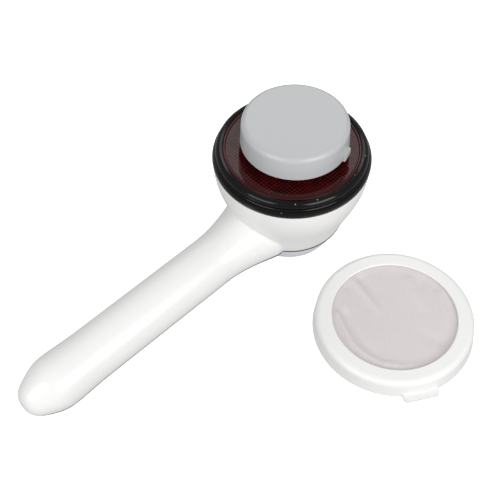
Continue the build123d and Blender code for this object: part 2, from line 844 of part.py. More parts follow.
def control_board():
    high = control_board_top()
    side = control_board_width / 2
    board = block(control_board_ends(), (-side, side), (high - board_thickness, high))
    for x in board_screw_places():
        board -= rod(small_screw[0] + slip_gap, 0, high + 1, x, 0)
    return board & handle(shell_wall + body_gap)


def board_screws():
    head = control_board_top() - board_thickness - small_screw[2]
    return joined([screw(small_screw, small_screw_length, x, 0, head) for x in board_screw_places()])


def driver_chip():
    high = control_board_top()
    return block((-wheel_station - 4, -wheel_station + 6), (-9, -3), (high, high + 1.6))


def capacitor():
    high = control_board_top()
    return rod(4.0, high, high + 9, -wheel_station - 6, 8)


def battery_cells():
    second = battery_start + cell_length + cell_gap
    first_cell = along_handle(cell_radius, battery_start, battery_start + cell_length)
    second_cell = along_handle(cell_radius, second, second + cell_length)
    return joined([first_cell, second_cell])


def battery_end():
    return battery_start + 2 * cell_length + cell_gap


def battery_tabs():
    joint = battery_start + cell_length
    plates = [(battery_start - 0.4, battery_start), (joint + 0.1, joint + cell_gap - 0.1)]
    plates.append((battery_end(), battery_end() + 0.4))
    return joined([along_handle(5.0, start, end) for start, end in plates])


def saddle_slab(station, low, high):
    """Cross slab of the handle's inside at a station, between two rises about the axis."""
    side = 2 * grip_radius
    place = Plane(axis_point(station), x_dir=(0, -1, 0), z_dir=handle_direction)
    slab = place * Pos(0, (low + high) / 2, 0) * Box(side, high - low, 6)
    return slab & handle(shell_wall + slip_gap)


def saddle_stations():
    quarter = cell_length / 4
    second = battery_start + cell_length + cell_gap
    return [start + quarter * share for start in (battery_start, second) for share in (1, 3)]


def battery_cradle():
    trough = along_handle(cell_radius + 2, battery_start + 2, battery_end() - 2)
    place = Plane(axis_point(battery_start), x_dir=(0, -1, 0), z_dir=handle_direction)
    half = Box(3 * grip_radius, 2 * grip_radius, 3 * cell_length)
    lower_half = place * Pos(0, -grip_radius - 2, cell_length) * half
    cradle = trough & lower_half
    for station in saddle_stations():
        cradle += saddle_slab(station, -grip_radius, -2)
    return cradle - along_handle(cell_radius + slip_gap, battery_start - 5, battery_end() + 5)


def foam_pads():
    pads = []
    for station in saddle_stations():
        place = Plane(axis_point(station), x_dir=(0, -1, 0), z_dir=handle_direction)
        pad = saddle_slab(station, 4, grip_radius) & (place * Box(12, 4 * grip_radius, 6))
        pads.append(pad - along_handle(cell_radius + slip_gap, station - 5, station + 5))
    return joined(pads)


def charge_socket():
    """Round socket: its bore is open to the butt end and blind inside."""
    place = Pos(-socket_station, 0, socket_height) * Rot(0, 90, 0)
    barrel = place * Cylinder(socket_barrel_radius, socket_bore_depth + 3, align=UPRIGHT)
    inner_end = -socket_station + socket_bore_depth + 3
    housing = block((inner_end - 7, inner_end + 4), (-4.6, 4.6), (socket_height - 4, socket_height + 4))
    bore = place * Pos(0, 0, -1) * Cylinder(socket_bore_radius, socket_bore_depth + 1, align=UPRIGHT)
    return barrel + housing - bore


def socket_bushing():
    """Grey insert across the parting line, flush with the butt, around the socket barrel."""
    body = bushing_space(0) & envelope(0.25)
    place = Pos(-socket_station, 0, socket_height) * Rot(0, 90, 0)
    body -= place * Cylinder(socket_barrel_radius + press_gap, 30, align=UPRIGHT)
    body -= place * Pos(0, 0, -20) * Cylinder(socket_barrel_radius - 0.4, 21, align=UPRIGHT)
    return joined([body])


def lamp_lead_place():
    return -38.0, -14.0


def motor_leads():
    """Two leads from the control board, down beside the motor and in under it."""
    board = control_board_top() + wire_radius + 0.1
    board_end = control_board_ends()[1] - 3
    low = motor_bottom - 7
    leads = []
    for side, tag in ((5.0, -1), (8.5, 1)):
        points = [(board_end, side, board), (-36, side, board), (-26.5, side, board - 10)]
        points += [(-26.5, side, low), (tag * 11 - 2, side, low), (tag * 11, 1.6, low + 2)]
        leads.append(wire(points, bend=1.6))
    return joined(leads)


def lamp_leads():
    board = control_board_top() + wire_radius + 0.1
    board_end = control_board_ends()[1] - 3
    x, y = lamp_lead_place()
    leads = []
    for shift in (-0.9, 0.9):
        points = [(board_end, y / 2 + shift, board), (x - 4, y / 2 + shift, board + 2), (x, y + shift, board + 12)]
        points += [(x, y + shift, lamp_board_bottom - 0.1)]
        leads.append(wire(points, bend=3))
    return joined(leads)


def battery_leads():
    board = control_board_top() + wire_radius + 0.1
    leads = []
    for side in (-1, 1):
        cell = axis_point(battery_start - 1.2, 2, side * 5.4)
        points = [tuple(cell), (cell.X + 2.4, side * 6.5, cell.Z + 3), (cell.X + 6, side * 7, board)]
        points += [(control_board_ends()[0] + 3, side * 7, board)]
        leads.append(wire(points, bend=1.2))
    return joined(leads)


def socket_leads():
    board = control_board_top() + wire_radius + 0.1
    rear = -socket_station + socket_bore_depth + 7
    leads = []
    for side in (-1, 1):
        near = axis_point(battery_end() - 6, 7, side * 13)
        later = axis_point(battery_start - 4, 7, side * 13)
        points = [(rear, side * 2.5, socket_height), (rear + 2.5, side * 2.5, socket_height)]
        points += [(rear + 2.5, side * 12, near.Z), tuple(near), tuple(later)]
        points += [(control_board_ends()[0] + 3, side * 12, board)]
        leads.append(wire(points, bend=1.0))
    return joined(leads)


def cover_ring():
    """Clip-on ring: rounded outer edge, inward lip over the mesh and a small snap bead."""
    top_radius = cover_radius - cover_taper
    bend = cover_edge_radius * (1 - math.sqrt(0.5))
    edge_start = (top_radius, cover_height - cover_edge_radius)
    edge_end = (top_radius - cover_edge_radius, cover_height)
    lip = cover_height - cover_wall
    inner_top = (top_radius - cover_wall, lip - 1.5)
    inner_bottom = (cover_radius - cover_wall, 0)
    outline = Line((cover_radius, 0), edge_start)
    outline += ThreePointArc(edge_start, (top_radius - bend, cover_height - bend), edge_end)
    outline += Line(edge_end, (cover_opening_radius + 1, cover_height))
    outline += ThreePointArc(
        (cover_opening_radius + 1, cover_height),
        (cover_opening_radius, cover_height - 1),
        (cover_opening_radius + 1, lip),
    )
    outline += Polyline((cover_opening_radius + 1, lip), (inner_top[0] - 1.5, lip), inner_top, inner_bottom)
    outline += Line(inner_bottom, (cover_radius, 0))
    body = lathe(outline)
    body += Pos(0, 0, 2.6) * Torus(cover_radius - cover_wall + 0.2, 0.6)
    body += side_tab(cover_tab_azimuth, cover_radius - 0.3, cover_tab_width, cover_tab_reach, 0, 2.6)
    return Pos(cover_x, cover_y, 0) * body


def mesh_radius():
    return cover_radius - cover_taper - cover_wall - 3


def cover_mesh():
    high = cover_height - cover_wall
    return rod(mesh_radius(), high - mesh_thickness, high, cover_x, cover_y)


def mesh_clamp_ring():
    high = cover_height - cover_wall - mesh_thickness
    inner = cover_opening_radius + 1
    return ring(inner, mesh_radius(), high - clamp_ring_height, high, cover_x, cover_y)


pieces = [
    front_housing,
    rear_housing,
    seam_gasket,
    housing_screws,
    bezel_ring,
    bezel_screws,
    lens_gasket,
    warming_lens,
    lamp_board,
    lamp_leds,
    board_spacers,
    lamp_board_screws,
    motor_chassis,
    chassis_screws,
    motor_can,
    motor_magnets,
    motor_end_cap,
    motor_brushes,
    motor_terminals,
    motor_bushings,
    motor_screws,
    motor_cushion,
    control_board,
    board_screws,
    driver_chip,
    capacitor,
    speed_pot_body,
    wheel_bracket,
    battery_cells,
    battery_tabs,
    battery_cradle,
    foam_pads,
    charge_socket,
    socket_bushing,
    motor_leads,
    lamp_leads,
    battery_leads,
    socket_leads,
    motor_shaft,
    armature,
    commutator,
    crank_hub,
    crank_grub_screw,
    crank_end_screw,
    bearing_inner_race,
    bearing_outer_race,
    bearing_balls,
    carrier_plate,
    grip_ring,
    head_cap,
    head_sockets,
    speed_wheel,
    speed_wheel_shaft,
    cover_ring,
    cover_mesh,
    mesh_clamp_ring,
]

os.makedirs("parts", exist_ok=True)
for piece in pieces:
    export_step(piece(), "parts/" + piece.__name__ + ".step")
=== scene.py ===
import math
import bpy
import bmesh
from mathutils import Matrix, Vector


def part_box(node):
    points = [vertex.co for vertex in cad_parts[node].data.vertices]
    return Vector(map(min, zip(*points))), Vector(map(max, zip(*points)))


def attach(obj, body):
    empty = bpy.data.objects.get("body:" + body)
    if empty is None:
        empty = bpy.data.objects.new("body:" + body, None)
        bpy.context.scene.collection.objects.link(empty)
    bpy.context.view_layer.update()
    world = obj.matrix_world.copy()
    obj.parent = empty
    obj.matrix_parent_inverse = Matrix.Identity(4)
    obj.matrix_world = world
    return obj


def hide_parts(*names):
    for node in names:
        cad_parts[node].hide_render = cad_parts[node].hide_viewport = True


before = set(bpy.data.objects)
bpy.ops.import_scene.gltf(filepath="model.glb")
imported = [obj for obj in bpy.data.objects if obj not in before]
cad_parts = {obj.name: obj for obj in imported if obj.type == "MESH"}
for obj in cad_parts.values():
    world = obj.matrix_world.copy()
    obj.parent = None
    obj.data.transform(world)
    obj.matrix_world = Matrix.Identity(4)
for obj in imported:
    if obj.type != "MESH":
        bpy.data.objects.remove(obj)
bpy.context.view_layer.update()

# ---------------------------------------------------------------------------------------------
# Camera: a steep view from behind the handle's near side, with a slightly long lens.
# Nothing is out of focus, and the lens isn't shifted.
eye = Vector((-0.3851, -0.3612, 0.6562))
line_of_sight = Vector((0.4155, 0.4413, -0.7954))
camera_data = bpy.data.cameras.new("camera")
camera_data.sensor_width = 36.0
camera_data.lens = 70.94
camera_data.clip_start = 0.01
camera = bpy.data.objects.new("camera", camera_data)
camera.location = eye
camera.rotation_euler = line_of_sight.to_track_quat("-Z", "Y").to_euler()
bpy.context.scene.collection.objects.link(camera)
bpy.context.scene.camera = camera
bpy.context.scene.view_settings.view_transform = "Standard"

# ---------------------------------------------------------------------------------------------
# Sweep of pale studio paper, which the object stands on, with three soft lamps round it.
# One millimetre in metres, and the functions that make colours, nodes and materials, start here.
MM = 0.001


def linear(code):
    """Linear colour of an sRGB hex code such as 'f2f0ea'."""
    parts = [int(code[i : i + 2], 16) / 255 for i in (0, 2, 4)]
    return tuple(p / 12.92 if p <= 0.04045 else ((p + 0.055) / 1.055) ** 2.4 for p in parts) + (1.0,)


def add_node(tree, kind, settings=None, links=None):
    """Adds one node, sets its properties and unlinked sockets, and links others to outputs."""
    made = tree.nodes.new(kind)
    for name, value in (settings or {}).items():
        if isinstance(name, str) and hasattr(made, name):
            setattr(made, name, value)
        else:
            made.inputs[name].default_value = value
    for name, source in (links or {}).items():
        tree.links.new(source, made.inputs[name])
    return made


mottle_size = 22.0
rough_spread = 0.12
grain_strength = 0.6


def moulded(name, colour, roughness, ior=1.5, grain=0.5, relief=0.02, mottle=0.03, metallic=0.0):
    """Starts a material: its shader, with a surface grain of a real size in mm and a relief in mm.

    The grain drives a faint bump, and a slow mottle varies colour and roughness, as on any real
    surface. Returns the material, its shader node and the object's coordinates.
    """
    material = bpy.data.materials.new(name)
    material.use_nodes = True
    tree = material.node_tree
    shader = tree.nodes["Principled BSDF"]
    shader.inputs["IOR"].default_value = ior
    shader.inputs["Metallic"].default_value = metallic
    place = add_node(tree, "ShaderNodeTexCoord").outputs["Object"]
    fine = add_node(
        tree, "ShaderNodeTexNoise", {"Scale": 1 / (grain * MM), "Detail": 3.0}, {"Vector": place}
    )
    slow = add_node(
        tree,
        "ShaderNodeTexNoise",
        {"Scale": 1 / (mottle_size * MM), "Detail": 4.0},
        {"Vector": place},
    )
    base = linear(colour)
    darker = tuple(c * (1 - 2 * mottle) for c in base[:3]) + (1.0,)
    tint = add_node(
        tree, "ShaderNodeMix", {"data_type": "RGBA", 6: darker, 7: base}, {0: slow.outputs["Fac"]}
    )
    tree.links.new(tint.outputs[2], shader.inputs["Base Color"])
    rough = add_node(
        tree,
        "ShaderNodeMapRange",
        {"To Min": roughness * (1 - rough_spread), "To Max": roughness * (1 + rough_spread)},
        {"Value": slow.outputs["Fac"]},
    )
    tree.links.new(rough.outputs["Result"], shader.inputs["Roughness"])
    bump = add_node(
        tree,
        "ShaderNodeBump",
        {"Strength": grain_strength, "Distance": relief * MM},
        {"Height": fine.outputs["Fac"]},
    )
    tree.links.new(bump.outputs["Normal"], shader.inputs["Normal"])
    return material, shader, place


def coat_nodes(material, *names):
    """Gives CAD nodes this material in place of their plain one."""
    for name in names:
        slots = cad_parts[name].data.materials
        slots.clear()
        slots.append(material)


# Uncoated card, matt, with the fine tooth of paper: it fades to an even white.
paper, paper_shader, _ = moulded(
    "studio_paper", "fafafa", roughness=0.9, grain=0.8, relief=0.01, mottle=0.004
)
# It is lit from beneath as well, like a light table, so that shadows on it stay faint.
light_table = 0.6
paper_shader.inputs["Emission Color"].default_value = (1.0, 1.0, 1.0, 1.0)
paper_shader.inputs["Emission Strength"].default_value = light_table

# The paper runs on so far, in metres, that no edge of it shows in a low view.
floor_half = 60.0
floor_corners = [
    (-floor_half, -floor_half, 0),
    (floor_half, -floor_half, 0),
    (floor_half, floor_half, 0),
    (-floor_half, floor_half, 0),
]
floor_mesh = bpy.data.meshes.new("paper_floor")
floor_mesh.from_pydata(floor_corners, [], [(0, 1, 2, 3)])
floor = bpy.data.objects.new("paper_floor", floor_mesh)
floor_mesh.materials.append(paper)
bpy.context.scene.collection.objects.link(floor)
# Its own emission lights nothing, and no gloss mirrors it.
floor.visible_diffuse = False
floor.visible_glossy = False

room_light = 0.48
world = bpy.data.worlds.new("studio")
world.use_nodes = True
world.node_tree.nodes["Background"].inputs["Color"].default_value = (1.0, 1.0, 1.0, 1.0)
world.node_tree.nodes["Background"].inputs["Strength"].default_value = room_light
bpy.context.scene.world = world


def softbox(name, place, width, height, power):
    """Large lamp with a diffusing front, which points from its place at the object."""
    lamp = bpy.data.lights.new(name, "AREA")
    lamp.shape = "RECTANGLE"
    lamp.size = width
    lamp.size_y = height
    lamp.energy = power
    stand = bpy.data.objects.new(name, lamp)
    stand.location = place
    aim = Vector(middle_of_object) - Vector(place)
    stand.rotation_euler = aim.to_track_quat("-Z", "Y").to_euler()
    bpy.context.scene.collection.objects.link(stand)


middle_of_object = (-0.08, -0.04, 0.04)
softbox("left_softbox", (-1.35, -0.13, 0.83), width=0.9, height=0.9, power=9.0)
softbox("right_softbox", (-0.12, -1.31, 0.83), width=0.9, height=0.9, power=13.0)
softbox("far_softbox", (1.15, 1.05, 1.25), width=1.4, height=1.0, power=7.5)

# ---------------------------------------------------------------------------------------------
# Front housing: the upper half of the body, injection-moulded in ABS with a polished tool.
# It carries the motor chassis on four posts.
# Polished ABS is glossy, with the faint waviness (orange peel) of a thick moulding.
gloss_white, _, _ = moulded(
    "white_abs_gloss", "e9e9e7", roughness=0.26, ior=1.54, grain=2.5, relief=0.006, mottle=0.006
)
coat_nodes(gloss_white, "front_housing")

# ---------------------------------------------------------------------------------------------
# Rear housing: the lower half, moulded in the same ABS and closed with self-tapping screws,
# whose heads sit deep in their wells. The other screws and pressed steel pieces match them.
# It is given a slightly darker and bluer white than the front.
cool_white, _, _ = moulded(
    "cool_white_abs", "dfe1ea", roughness=0.3, ior=1.54, grain=2.0, relief=0.006, mottle=0.008
)
coat_nodes(cool_white, "rear_housing")

# Bright zinc plating on rolled steel: a soft blue-grey shine, slightly uneven.
zinc, _, _ = moulded(
    "zinc_plated_steel", "b9bcc0", roughness=0.32, grain=0.12, relief=0.004, mottle=0.06, metallic=1.0
)
coat_nodes(
    zinc,
    "housing_screws",
    "bezel_screws",
    "chassis_screws",
    "lamp_board_screws",
    "motor_screws",
    "board_screws",
    "crank_grub_screw",
    "crank_end_screw",
    "battery_tabs",
    "motor_can",
)

# ---------------------------------------------------------------------------------------------
# Seals: soft moulded elastomer in the parting line, under the lens, round the carrier and
# under the motor. Each fills the gap between the pieces that it seals or cushions.
# Moulded from a fine spark-eroded tool, it is almost black and matt.
elastomer, _, _ = moulded(
    "black_elastomer", "1c1d1f", roughness=0.62, ior=1.52, grain=0.25, relief=0.01, mottle=0.1
)
coat_nodes(elastomer, "lens_gasket", "grip_ring", "motor_cushion")

# The seal in the parting line is pushed out a little proud of both housings, as a thin dark bead:
# painted shade, a dark strip that stands for the shade in the seam's gap.
# Sizes in mm. Outward is away from the body's middle line, which runs from the head's axis to
# the centre of the rounded butt, and a normal that leans sideways belongs to a side wall.
bead_reach = 1.15
weld_gap = 0.002
butt_inset = 20
least_lean = 0.2
bead_shape = bmesh.new()
bead_shape.from_mesh(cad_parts["seam_gasket"].data)
bmesh.ops.remove_doubles(bead_shape, verts=bead_shape.verts, dist=weld_gap * MM)
bead_shape.normal_update()
butt_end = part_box("seam_gasket")[0].x + butt_inset * MM
for vertex in bead_shape.verts:
    nearest_x = min(max(vertex.co.x, butt_end), 0.0)
    outward = Vector((vertex.co.x - nearest_x, vertex.co.y, 0.0))
    sideways = Vector((vertex.normal.x, vertex.normal.y, 0.0))
    if sideways.length > least_lean and sideways.dot(outward) > 0:
        vertex.co += sideways.normalized() * bead_reach * MM
bead_mesh = bpy.data.meshes.new("seam_shade_bead")
bead_shape.to_mesh(bead_mesh)
bead_shape.free()
bead_mesh.materials.clear()
bead_mesh.materials.append(elastomer)
seam_shade_bead = bpy.data.objects.new("seam_shade_bead", bead_mesh)
bpy.context.scene.collection.objects.link(seam_shade_bead)
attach(seam_shade_bead, "casing")
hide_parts("seam_gasket")

# ---------------------------------------------------------------------------------------------
# Bezel ring: black ABS moulded in a mirror-polished tool, screwed down from inside.
# It has two rounded beads, and between them the groove that the cover snaps into.
# Piano black mirrors the room and lies dark between, so a little pale dust shows on it.
piano_black, piano_shader, piano_place = moulded(
    "piano_black_abs", "0a0a0b", roughness=0.14, ior=1.54, grain=3.0, relief=0.004, mottle=0.1
)
piano_shader.inputs["Specular IOR Level"].default_value = 0.22
# Specks lie about 8 mm apart. Their solid middle and faded edge are shares of that.
speck_spacing = 8
speck_middle = 0.045
speck_edge = 0.075
tree = piano_black.node_tree
specks = add_node(
    tree,
    "ShaderNodeTexVoronoi",
    {"Scale": 1 / (speck_spacing * MM), "Randomness": 1.0},
    {"Vector": piano_place},
)
dusty = add_node(
    tree,
    "ShaderNodeMapRange",
    {"From Min": speck_middle, "From Max": speck_edge, "To Min": 1.0, "To Max": 0.0},
    {"Value": specks.outputs["Distance"]},
)
dust_colour = add_node(
    tree,
    "ShaderNodeMix",
    {"data_type": "RGBA", 7: linear("8f8f8c")},
    {0: dusty.outputs["Result"], 6: piano_shader.inputs["Base Color"].links[0].from_socket},
)
tree.links.new(dust_colour.outputs[2], piano_shader.inputs["Base Color"])
coat_nodes(piano_black, "bezel_ring")

# ---------------------------------------------------------------------------------------------
# Warming lens: a moulded ring of deep red polycarbonate, which sits on its gasket round the
# head. It is smooth outside, and rows of small pyramids are cut into its hidden face.
# Sizes in mm: the border bead, the dished face inside it, and the collar round the hole.
lens_low, lens_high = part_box("warming_lens")
lens_radius = (lens_high.x - lens_low.x) / 2 / MM
lens_top = lens_high.z / MM
lens_edge = 2.2
lens_border = 3.4
border_bead = 1.3
bead_rise = 1.0
bead_steps = 9
foot_round = 0.5
foot_dip = 0.05
face_drop = 0.6
lens_dish = 1.8
dish_steps = 12
lens_hole = 17.0
hole_round = 0.6
collar_depth = 4.0
collar_wall = 1.8
lens_thickness = 1.8
underside_inset = 1.0
underside_depth = 2.25
lens_turns = 192


def lathe_mesh(name, outline, steps):
    """Closed ring turned about the head axis from a loop of (radius, height) points in mm."""
    shape = bmesh.new()
    rows = []
    for step in range(steps):
        angle = 2 * math.pi * step / steps
        row = []
        for r, z in outline:
            row.append(shape.verts.new((r * MM * math.cos(angle), r * MM * math.sin(angle), z * MM)))
        rows.append(row)
    count = len(outline)
    for step in range(steps):
        this, following = rows[step], rows[(step + 1) % steps]
        for i in range(count):
            after = (i + 1) % count
            shape.faces.new((this[i], following[i], following[after], this[after]))
    bmesh.ops.recalc_face_normals(shape, faces=shape.faces)
    mesh = bpy.data.meshes.new(name)
    shape.to_mesh(mesh)
    shape.free()
    mesh.shade_smooth()
    made = bpy.data.objects.new(name, mesh)
    bpy.context.scene.collection.objects.link(made)
    return made


def lens_outline():
    """Cross-section of the lens: rounded border bead, dished face, collar and underside."""
    bead_middle = lens_radius - border_bead
    bead_foot = lens_top - bead_rise
    points = [(lens_radius, lens_top - lens_edge), (lens_radius, bead_foot)]
    for step in range(1, bead_steps):
        angle = math.pi * step / bead_steps
        height = bead_foot + bead_rise * math.sin(angle)
        points.append((bead_middle + border_bead * math.cos(angle), height))
    face_start = lens_radius - lens_border
    face_rim = lens_top - face_drop
    points.append((face_start + foot_round, face_rim - foot_dip))
    for step in range(1, dish_steps + 1):
        share = step / dish_steps
        radius = face_start - share * (face_start - lens_hole - hole_round)
        points.append((radius, face_rim - lens_dish * share))
    dish_low = face_rim - lens_dish
    points.append((lens_hole, dish_low - hole_round))
    points.append((lens_hole, dish_low - collar_depth))
    points.append((lens_hole + collar_wall, dish_low - collar_depth))
    points.append((lens_hole + collar_wall, dish_low - lens_thickness))
    points.append((face_start - underside_inset, lens_top - underside_depth))
    return points


lens = lathe_mesh("lens_ring", lens_outline(), lens_turns)
# Clear red stock with a polished skin: glossy and near-black. Its rows of dim red points are painted
# glints, the light that the pyramids send back, painted into the colour of this smooth ring. The
# plain tint given here is replaced by the painted glints and the border's colour, below.
red_pc, lens_shader, lens_place = moulded(
    "red_polycarbonate", "2a0608", roughness=0.1, ior=1.585, grain=4.0, relief=0.004, mottle=0.1
)
lens_shader.inputs["Specular IOR Level"].default_value = 0.2
tree = red_pc.node_tree
split = add_node(tree, "ShaderNodeSeparateXYZ", None, {0: lens_place})
# Painted glints: each pyramid sends red light back from its middle and none from its edges, and this
# light is painted into the colour. The two waves add up to -2 between pyramids and 2 at their
# middles.
pyramid_pitch = 2.72
pyramid_dark = -1.0
pyramid_bright = 1.3
waves = []
for axis in (0, 1):
    turned = add_node(
        tree,
        "ShaderNodeMath",
        {"operation": "MULTIPLY", 1: 2 * math.pi / (pyramid_pitch * MM)},
        {0: split.outputs[axis]},
    )
    wave = add_node(tree, "ShaderNodeMath", {"operation": "SINE"}, {0: turned.outputs["Value"]})
    waves.append(wave.outputs["Value"])
pyramids = add_node(tree, "ShaderNodeMath", {"operation": "ADD"}, {0: waves[0], 1: waves[1]})
# Painted glints: bright at each pyramid's middle, none at its edges.
painted_glints = add_node(
    tree,
    "ShaderNodeMapRange",
    {"From Min": pyramid_dark, "From Max": pyramid_bright, "interpolation_type": "SMOOTHSTEP"},
    {"Value": pyramids.outputs["Value"]},
)
# The painted glints are uneven, in patches of about 7 mm, and never weaker than 0.3 of their full
# strength.
# The noise lies mostly between the two levels named here.
patch_size = 7
patch_dark = 0.35
patch_bright = 0.7
least_light = 0.3
glint_patches = add_node(
    tree,
    "ShaderNodeTexNoise",
    {"Scale": 1 / (patch_size * MM), "Detail": 2.0},
    {"Vector": lens_place},
)
uneven = add_node(
    tree,
    "ShaderNodeMapRange",
    {"From Min": patch_dark, "From Max": patch_bright, "To Min": least_light, "To Max": 1.0},
    {"Value": glint_patches.outputs["Fac"]},
)
lit = add_node(
    tree,
    "ShaderNodeMath",
    {"operation": "MULTIPLY"},
    {0: painted_glints.outputs["Result"], 1: uneven.outputs["Result"]},
)
# The moulded border has no pyramids. They stop 0.4 mm short of it, which is 109 mm from the
# origin, and fade out over the last 0.25 mm.
border_gap = 0.4
border_fade = 0.25
border_reach = math.hypot(lens_radius - lens_border - border_gap, lens_top - face_drop)
from_origin = add_node(tree, "ShaderNodeVectorMath", {"operation": "LENGTH"}, {0: lens_place})
inside = add_node(
    tree,
    "ShaderNodeMapRange",
    {
        "From Min": (border_reach - border_fade) * MM,
        "From Max": border_reach * MM,
        "To Min": 1.0,
        "To Max": 0.0,
    },
    {"Value": from_origin.outputs["Value"]},
)
cut = add_node(
    tree,
    "ShaderNodeMath",
    {"operation": "MULTIPLY"},
    {0: lit.outputs["Value"], 1: inside.outputs["Result"]},
)
# Near-black lens colour, with the painted glints in bright red.
lens_colour = add_node(
    tree,
    "ShaderNodeMix",
    {"data_type": "RGBA", 6: linear("140c0b"), 7: linear("661014")},
    {0: cut.outputs["Value"]},
)
border_colour = add_node(
    tree,
    "ShaderNodeMix",
    {"data_type": "RGBA", 6: linear("3d0a0d")},
    {0: inside.outputs["Result"], 7: lens_colour.outputs[2]},
)
tree.links.new(border_colour.outputs[2], lens_shader.inputs["Base Color"])
lens.data.materials.append(red_pc)
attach(lens, "casing")
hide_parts("warming_lens")

# ---------------------------------------------------------------------------------------------
# Lamp board and control board: glass-epoxy laminate on spacers, with the lamps, the driver
# chip and the capacitor soldered to them.
# Solder mask over woven glass: even dark green, with a faint gloss that the weave breaks up.
solder_mask, _, _ = moulded(
    "solder_mask_on_laminate", "0f4a24", roughness=0.35, ior=1.55, grain=0.5, relief=0.01, mottle=0.15
)
coat_nodes(solder_mask, "lamp_board", "control_board")
# Cast red epoxy: bright and glassy, and light goes part of the way through.
red_epoxy, red_epoxy_shader, _ = moulded(
    "red_lamp_epoxy", "b5121a", roughness=0.08, ior=1.54, grain=1.2, relief=0.002, mottle=0.05
)
red_epoxy_shader.inputs["Transmission Weight"].default_value = 0.4
coat_nodes(red_epoxy, "lamp_leds")
# Pressed black epoxy, as on a chip's package: dull, with a fine even grain.
chip_epoxy, _, _ = moulded(
    "black_package_epoxy", "17171a", roughness=0.5, ior=1.55, grain=0.15, relief=0.01, mottle=0.1
)
coat_nodes(chip_epoxy, "driver_chip", "capacitor")

# ---------------------------------------------------------------------------------------------
# Inner mouldings: chassis, carrier, cradle, spacers, brackets, socket and speed wheel,
# injection-moulded in stiff nylon and screwed or clipped into the housings.
# Glass fibres at its skin make the near-black nylon slightly cloudy and uneven.
nylon, _, _ = moulded(
    "glass_filled_nylon", "202124", roughness=0.48, ior=1.53, grain=0.4, relief=0.02, mottle=0.12
)
coat_nodes(
    nylon,
    "motor_chassis",
    "board_spacers",
    "motor_end_cap",
    "speed_pot_body",
    "wheel_bracket",
    "battery_cradle",
    "charge_socket",
    "carrier_plate",
    "speed_wheel",
)

# ---------------------------------------------------------------------------------------------
# Motor and bearing: steel shaft, crank and races, iron core, ferrite magnets, copper,
# bronze bushings and carbon brushes, pressed together or held by the motor's can.
# Ground steel has a fine grey shine.
ground_steel, _, _ = moulded(
    "ground_steel", "a9abad", roughness=0.25, grain=0.1, relief=0.003, mottle=0.05, metallic=1.0
)
coat_nodes(ground_steel, "motor_shaft", "crank_hub", "speed_wheel_shaft")
# Lapped races and balls are almost mirrors.
race_steel, _, _ = moulded(
    "polished_bearing_steel",
    "d2d4d6",
    roughness=0.1,
    grain=0.1,
    relief=0.001,
    mottle=0.03,
    metallic=1.0,
)
coat_nodes(race_steel, "bearing_inner_race", "bearing_outer_race", "bearing_balls")
# Stamped iron sheets in a stack are brownish and dull.
core_iron, _, _ = moulded(
    "laminated_iron", "5d5a57", roughness=0.45, grain=0.35, relief=0.02, mottle=0.15, metallic=1.0
)
coat_nodes(core_iron, "armature")
# Pressed and fired ferrite is charcoal, matt and finely pitted.
ferrite, _, _ = moulded(
    "pressed_ferrite", "2d2c2e", roughness=0.65, ior=1.6, grain=0.2, relief=0.02, mottle=0.15
)
coat_nodes(ferrite, "motor_magnets")
# Drawn copper is warm and bright, a little tarnished in places.
copper, _, _ = moulded(
    "drawn_copper", "c77b4f", roughness=0.28, grain=0.15, relief=0.004, mottle=0.08, metallic=1.0
)
coat_nodes(copper, "commutator", "motor_terminals")
# Sintered bronze is porous, so its brown shine is soft.
bronze, _, _ = moulded(
    "sintered_bronze", "8f6a3c", roughness=0.5, grain=0.12, relief=0.02, mottle=0.15, metallic=1.0
)
coat_nodes(bronze, "motor_bushings")
# Pressed carbon is black and dusty, with hardly any shine.
carbon, _, _ = moulded(
    "pressed_carbon", "18181a", roughness=0.7, ior=1.6, grain=0.12, relief=0.02, mottle=0.2
)
coat_nodes(carbon, "motor_brushes")

# ---------------------------------------------------------------------------------------------
# Battery: two cells in shrink sleeve, laid in their cradle and held down by foam pads.
# Covered leads run from them, and from the socket, the motor and the lamps.
# Sleeve shrunk tight over the cells: glossy blue, with slow ripples.
shrink_sleeve, _, _ = moulded(
    "blue_shrink_sleeve", "2a5d9c", roughness=0.3, ior=1.53, grain=1.5, relief=0.02, mottle=0.05
)
coat_nodes(shrink_sleeve, "battery_cells")
# Closed cells of half a millimetre give the cut foam a dark, dead-matt, bubbly face.
foam, _, _ = moulded(
    "closed_cell_foam", "3a3b3d", roughness=0.95, ior=1.4, grain=0.6, relief=0.1, mottle=0.15
)
coat_nodes(foam, "foam_pads")
# Extruded PVC covering: red, with a waxy half gloss.
lead_pvc, _, _ = moulded(
    "red_lead_pvc", "a01b16", roughness=0.4, ior=1.53, grain=0.5, relief=0.01, mottle=0.06
)
coat_nodes(lead_pvc, "motor_leads", "lamp_leads", "battery_leads", "socket_leads")

# ---------------------------------------------------------------------------------------------
# Socket bushing: a soft insert round the charge socket, flush in the butt.
# It is moulded on its own and clamped between the housings.
# Filled elastomer is mid grey and dull, like a rubber.
grey_insert, _, _ = moulded(
    "grey_elastomer", "8e8f8c", roughness=0.55, ior=1.52, grain=0.3, relief=0.01, mottle=0.06
)
coat_nodes(grey_insert, "socket_bushing")

# ---------------------------------------------------------------------------------------------
# Massage head: a cap of neutral grey ABS, moulded in one piece, and the three sockets under
# its ceiling that push onto the carrier's pins.
# A lightly vapour-blasted tool leaves it satin: its highlights are broad and soft.
satin_grey, satin_shader, _ = moulded(
    "satin_grey_abs", "babcbd", roughness=0.24, ior=1.54, grain=0.8, relief=0.006, mottle=0.008
)
satin_shader.inputs["Specular IOR Level"].default_value = 0.38
coat_nodes(satin_grey, "head_cap", "head_sockets")

